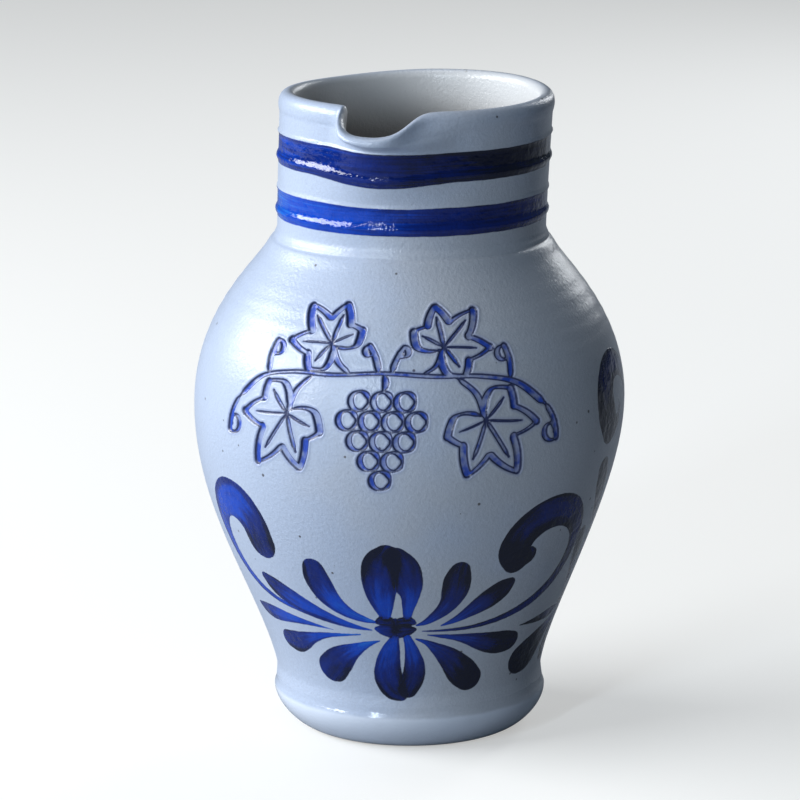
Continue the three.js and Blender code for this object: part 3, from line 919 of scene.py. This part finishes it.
def bands(place, rise, within):
    """Where the bands are and their blue. Only the upper one meets the handle's root."""
    right, back, _ = parts_of(place)
    lower, upper = [band_depth(rise, *band) for band in zip(band_feet, band_heights)]
    clear = sums("MULTIPLY_ADD", sums("LESS_THAN", back, 0), neck_radius, root_gap(place))
    depth = sums("MAXIMUM", lower, sums("MINIMUM", upper, clear))
    depth = sums("MULTIPLY_ADD", within, -neck_radius, depth)
    depth = wobbled(place, depth, *band_wobble)
    load = ramp(rise, *band_load)
    # Painted shade: the bands grow darker towards the right and lighter towards the left.
    shaded_right = ramp(right, *band_shade_right)
    streaks = ramp(noise(scaled(place, 1, 1, streak_length), streak_length, 4, 0.6), *band_streaks)
    clouds = ramp(noise(place, cloud_size, 3, 0.55), *band_clouds)
    return laid(depth, load, shaded_right, streaks, clouds, ramp(depth, *dried_edge))


def strokes(tree, place):
    """Where the brushwork is and its blue."""
    along, across, to_tip = parts_of(attribute(tree, "stroke", "Vector"))
    load, overlap, number = parts_of(attribute(tree, "laid", "Vector"))
    drawn_out = sums("MULTIPLY", along, hair_drawn_out)
    hairs = add("ShaderNodeCombineXYZ", drawn_out, across, number)
    hairs = ramp(add("ShaderNodeTexNoise", hairs, hairs_per_half, 3, 0.5), *hair_streaks)
    side = ramp(sums("ABSOLUTE", sums("ADD", across, brush_tilt)), *pushed_to_side)
    resting = ramp(to_tip, *brush_rests)
    starting = ramp(along, *brush_starts)
    meeting = ramp(overlap, *strokes_meet)
    pooled = ramp(noise(place, pool_size, 1), *pools)
    depth = wobbled(place, attribute(tree, "brushed"), *stroke_wobble)
    return laid(depth, load, side, resting, starting, meeting, hairs, pooled)


def washed_cuts(tree, place, colour):
    """The same colour with blue washed into the cut lines, darkest along the foot of each side."""
    cut = attribute(tree, "cut")
    tint = ramp(noise(place, cut_tint_size, 2), *cut_tint)
    pooled = sums("MULTIPLY", ramp(cut, *cut_pools), tint)
    washed = sums("MAXIMUM", pooled, ramp(cut, *cut_haze))
    off_line = sums("ABSOLUTE", sums("SUBTRACT", cut, side_foot))
    line = ramp(off_line, *side_foot_line)
    return mix(line, mix(washed, colour, blue_thin), blue_in_cut)


def fire_body(material):
    tree, shader = shaded(material)
    place = object_place(tree)
    rise, within = attribute(tree, "rise"), attribute(tree, "within")
    # Deeper inside it darkens, partly as painted shade.
    inside = mix(ramp(rise, *inside_pales), deep_glaze_and_shade, glaze_inside)
    colour = mix(within, glaze_colour(place), inside)
    # The foot below the ledge is painted paler.
    paler_foot = ramp(wobbled(place, rise, *foot_wobble), *foot_pales)
    colour = mix(paler_foot, colour, glaze_foot)
    banded, band_blue = bands(place, rise, within)
    painted, stroke_blue = strokes(tree, place)
    colour = mix(painted, mix(banded, colour, band_blue), stroke_blue)
    colour = washed_cuts(tree, place, colour)
    bare = ramp(parts_of(place)[2], *bare_below)
    colour = mix(bare, colour, bare_clay)

    blue = sums("MAXIMUM", painted, banded)
    thick_glaze = sums("MAXIMUM", blue, ramp(rise, *foot_shines))
    dull = lessened(dullness(place), thick_glaze, gloss_over_blue)
    dull = sums("MULTIPLY_ADD", bare, bare_dullness, dull)
    height = lessened(peel(place), thick_glaze, peel_lost_over_blue)
    lumps = sums("MULTIPLY_ADD", noise(place, lump_size, 3, 0.6), lump_height, -lump_sunk)
    give_skin(tree, shader, colour, dull, sums("MULTIPLY_ADD", blue, lumps, height))


def shown_piece(name, mesh, node):
    """Puts a finished mesh on the jug in place of a plainer node."""
    piece = placed(name, mesh)
    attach(piece, "root")
    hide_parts(node)


fire_body(body_glaze)
shown_piece("jug_body", body_mesh, "thrown_body")

# Strap handle
# A tapering strap, pulled from a lump of wet clay with wet fingers, which leave two grooves and a rib
# between them. It springs from the neck, bends over and is pressed home on the shoulder with a thumb,
# which slides a little along it.
upper_strap_width, lower_strap_width = 27, 22
upper_strap_thickness, lower_strap_thickness = 11.5, 9
strap_groove, strap_edges = 1.15, 0.78
strap_round, strap_round_inside = 0.72, 0.5
uneven_width = ((0.25, 21, 0), (0.15, 47, 1))
sideways, sideways_waves = 0.35, 5
root_flare, root_flare_share = 3, 0.16
upper_root_height, lower_root_height = rim_height - 26.5, belly_height + 16
root_start, root_sunk = 10, 2.4
upper_pull, lower_pull = (60, 30), (43, 48)
strap_length = 128
thumb_share, thumb_radius, thumb_depth, thumb_slide = 0.87, 14, 1.7, 105 / 128
strap_rings, strap_sides, strap_step = 120, 128, 0.001
upper_root_ends_by, lower_root_starts_after, halvings = 0.35, 0.65, 30
sharp_edge = math.radians(50)


def fire_plain(material):
    tree, shader = shaded(material)
    place = object_place(tree)
    give_skin(tree, shader, glaze_colour(place), dullness(place), peel(place))


def strap_middle(share):
    """How far back and how high the strap's middle is, at a share of its length."""
    start = np.array((radius_at(upper_root_height) - root_start, upper_root_height))
    end = np.array((radius_at(lower_root_height) - root_start, lower_root_height))
    return cubic(share, start, start + upper_pull, end + lower_pull, end)


def strap_section(around):
    """The strap's section: across and outwards, between -1 and 1."""
    across, out = np.cos(around), np.sin(around)
    across = np.sign(across) * np.abs(across) ** strap_round
    out = np.sign(out) * np.abs(out) ** np.where(out > 0, strap_round, strap_round_inside)
    groove = np.maximum(out, 0) * np.sin(np.clip(np.abs(across) / strap_edges, 0, 1) * math.pi) ** 2
    return across, out - groove * 2 * strap_groove / upper_strap_thickness


def strap_skin(share, around):
    """Places on the strap's skin, by the share of its length and the angle round its section."""
    middle = strap_middle(share)
    ahead = strap_middle(share + strap_step) - strap_middle(share - strap_step)
    ahead /= np.linalg.norm(ahead, axis=1)[:, None]
    outwards = np.column_stack((-ahead[:, 1], ahead[:, 0]))
    flare = root_flare * (1 - smooth_step(np.minimum(share, 1 - share), 0, root_flare_share))
    pulled = sum(size * np.sin(share * waves + start) for size, waves, start in uneven_width)
    width = upper_strap_width + (lower_strap_width - upper_strap_width) * share + 2 * flare + pulled
    thickness = upper_strap_thickness + (lower_strap_thickness - upper_strap_thickness) * share
    across, out = strap_section(around)
    press = (share - thumb_share) * strap_length * thumb_slide
    dent = np.sqrt(np.maximum(thumb_radius**2 - press**2 - (across * width / 2) ** 2, 0))
    dent = np.maximum(dent - (thumb_radius - thumb_depth), 0) * (out > 0)
    raised = out * thickness / 2 - dent
    side = -across * width / 2 + sideways * np.sin(share * sideways_waves)
    back = middle[:, 0] + outwards[:, 0] * raised
    height = middle[:, 1] + outwards[:, 1] * raised
    return np.column_stack((side, back, height))


def beyond_wall(places):
    """How far places behind the jug stand off its wall, before it leans."""
    return np.hypot(places[:, 0], places[:, 1]) - radius_at(places[:, 2])


def leaning(places):
    """The same places on the jug as it leans."""
    lean = smooth_through(lean_heights, lean_aside, places[:, 2])
    return places + lean[:, None] * np.array(rightwards)


def ringed_mesh(name, rings, ends_closed):
    """A mesh through rings of points, which closes on itself or has its ends closed."""
    count, sides = rings.shape[:2]
    faces = []
    for i in range(count - 1 if ends_closed else count):
        for j in range(sides):
            here, there = i * sides, (i + 1) % count * sides
            side = (j + 1) % sides
            faces.append((here + j, here + side, there + side, there + j))
    if ends_closed:
        faces += [tuple(range(sides)), tuple(range(count * sides - 1, (count - 1) * sides - 1, -1))]
    mesh = bpy.data.meshes.new(name)
    mesh.from_pydata((rings.reshape(-1, 3) * mm).tolist(), [], faces)
    closed = bmesh.new()
    closed.from_mesh(mesh)
    bmesh.ops.recalc_face_normals(closed, faces=closed.faces)
    closed.to_mesh(mesh)
    closed.free()
    mesh.polygons.foreach_set("use_smooth", np.ones(len(mesh.polygons), bool))
    mesh.set_sharp_from_angle(angle=sharp_edge)
    mesh.materials.append(plain_glaze)
    return mesh


def crossing(around, share, towards_middle):
    """The share at which a line of the strap's skin comes out of the wall, looked for from one end."""
    inside, outside_wall = share.copy(), np.full(len(share), float(towards_middle))
    for _ in range(halvings):
        half = (inside + outside_wall) / 2
        out = beyond_wall(strap_skin(half, around)) > 0
        inside, outside_wall = np.where(out, inside, half), np.where(out, half, outside_wall)
    return (inside + outside_wall) / 2


plain_glaze = bpy.data.materials.new("salt_glaze")
fire_plain(plain_glaze)
section_angles = np.linspace(0, 2 * math.pi, strap_sides, endpoint=False)
upper_crossing = crossing(section_angles, np.zeros(strap_sides), upper_root_ends_by)
lower_crossing = crossing(section_angles, np.ones(strap_sides), lower_root_starts_after)
sunk_share = root_sunk / strap_length
first_share, last_share = upper_crossing - sunk_share, lower_crossing + sunk_share
ring_shares = np.linspace(0, 1, strap_rings)
strap = np.array([
    strap_skin(first_share + (last_share - first_share) * share, section_angles)
    for share in ring_shares
])
strap = leaning(strap.reshape(-1, 3)).reshape(strap.shape)
shown_piece("handle", ringed_mesh("strap", strap, True), "strap_handle")

# Luting coils
# A roll of soft clay is laid in the angle between the strap and the wall, and drawn out onto both
# with a wet finger until it is a smooth hollow fillet. The finger leaves it a little uneven.
coil_leg, coil_sunk, coil_arc_steps = 5.6, 0.25, 10
coil_uneven, coil_waves, coil_fine_uneven, coil_fine_waves = 0.45, 3, 0.27, 7


def wall_place(turn, measure, lift):
    row = np.interp(measure, measures, fine_rows)
    return jug_wall(turn, row, lift)


def section_skin(shares):
    """The strap's leaning skin, a hair under its surface."""
    skin = strap_skin(shares, section_angles)
    middle = strap_middle(shares)
    towards_middle = np.column_stack((np.zeros(len(shares)), middle)) - skin
    towards_middle /= np.linalg.norm(towards_middle, axis=1)[:, None]
    return leaning(skin + towards_middle * coil_sunk)


def coil_rings(shares, outwards, phase):
    """Rings of the fillet round one root, where outwards is the way off the wall along the strap."""
    skin = strap_skin(shares, section_angles)
    turn = np.arctan2(skin[:, 0], -skin[:, 1]) % (2 * math.pi)
    measure = measure_at(skin[:, 2])
    path = np.column_stack((turn, measure))
    along = np.roll(path, -2, axis=0) - np.roll(path, 2, axis=0)
    away = np.column_stack((along[:, 1], -along[:, 0])) / np.linalg.norm(along, axis=1)[:, None]
    middle = path.mean(axis=0)
    away *= np.sign(np.sum(away * (path - middle), axis=1))[:, None]
    leg = coil_leg + coil_uneven * np.sin(coil_waves * section_angles + phase)
    leg += coil_fine_uneven * np.sin(coil_fine_waves * section_angles)
    scale = radius_at(skin[:, 2])[:, None]
    on_wall = path + away * leg[:, None] / scale
    wall_end = wall_place(on_wall[:, 0], on_wall[:, 1], -coil_sunk)
    inner = section_skin(shares + outwards * leg / strap_length)
    corner = leaning(skin)
    steps = np.linspace(0, 1, coil_arc_steps + 1)[:, None, None]
    arc = inner * (1 - steps) ** 2 + 2 * corner * steps * (1 - steps) + wall_end * steps**2
    under = wall_place(turn, measure, -2 * coil_sunk)
    return np.concatenate([arc, under[None]]).transpose(1, 0, 2)


for name, root, outwards, phase in (("upper", upper_crossing, 1, 0.4), ("lower", lower_crossing, -1, 2.1)):
    rings = coil_rings(root, outwards, phase)
    shown_piece(name + "_coil", ringed_mesh(name + "_coil", rings, False), name + "_luting_coil")

# Table and light
# A plain pale sheet that the jug stands on. A large window on its left lights it, a narrow strip in
# front draws the long gleam, and a dim window behind and a lamp on the ceiling lift the shade.
# Places and sizes here are metres, and powers are watts.
table_reach, table_gap, table_dullness = 30, 0.0002, 0.9
table_colour, table_bounce, table_glow = (0.5, 0.5, 0.49, 1), (0.25, 0.27, 0.3, 1), 0.9
lamps = (
    ("left_window", (-1.72, -0.44, 0.86), (2.1, 0.7), 67, (0.96, 0.98, 1)),
    ("front_strip", (-0.5, -1.6, 0.6), (0.06, 0.9), 13, (0.76, 0.88, 1)),
    ("back_window", (0.6, 1.75, 0.8), (0.4, 0.9), 8, (0.94, 0.97, 1)),
    ("ceiling_lamp", (-0.4, -0.1, 2.2), (0.7, 0.7), 6, (1, 1, 1)),
)
room_colour, room_strength = (0.62, 0.8, 1, 1), 0.12


def table_sheet():
    material = bpy.data.materials.new("pale_table")
    tree, shader = shaded(material)
    shader.inputs["Roughness"].default_value = table_dullness
    seen = tree.nodes.new("ShaderNodeLightPath").outputs["Is Camera Ray"]
    tree.links.new(mix(seen, table_bounce, table_colour), shader.inputs["Base Color"])
    shader.inputs["Emission Color"].default_value = table_colour
    tree.links.new(sums("MULTIPLY", seen, table_glow), shader.inputs["Emission Strength"])
    mesh = bpy.data.meshes.new("table")
    corners = [(-1, -1), (1, -1), (1, 1), (-1, 1)]
    mesh.from_pydata([(x * table_reach, y * table_reach, 0) for x, y in corners], [], [(0, 1, 2, 3)])
    mesh.materials.append(material)
    return mesh


table = placed("table", table_sheet())
table.location.z = cad_low.z - table_gap
jug_middle = Vector((0, 0, (cad_low.z + cad_high.z) / 2))
for name, place, size, power, colour in lamps:
    lamp = bpy.data.lights.new(name, "AREA")
    lamp.shape = "RECTANGLE"
    lamp.size, lamp.size_y = size
    lamp.energy = power
    lamp.color = colour
    aimed(name, lamp, place, jug_middle - Vector(place))
world = bpy.data.worlds.new("room")
world.use_nodes = True
room = world.node_tree.nodes["Background"]
room.inputs["Color"].default_value = room_colour
room.inputs["Strength"].default_value = room_strength
bpy.context.scene.world = world
bpy.context.scene.view_settings.view_transform = "Standard"
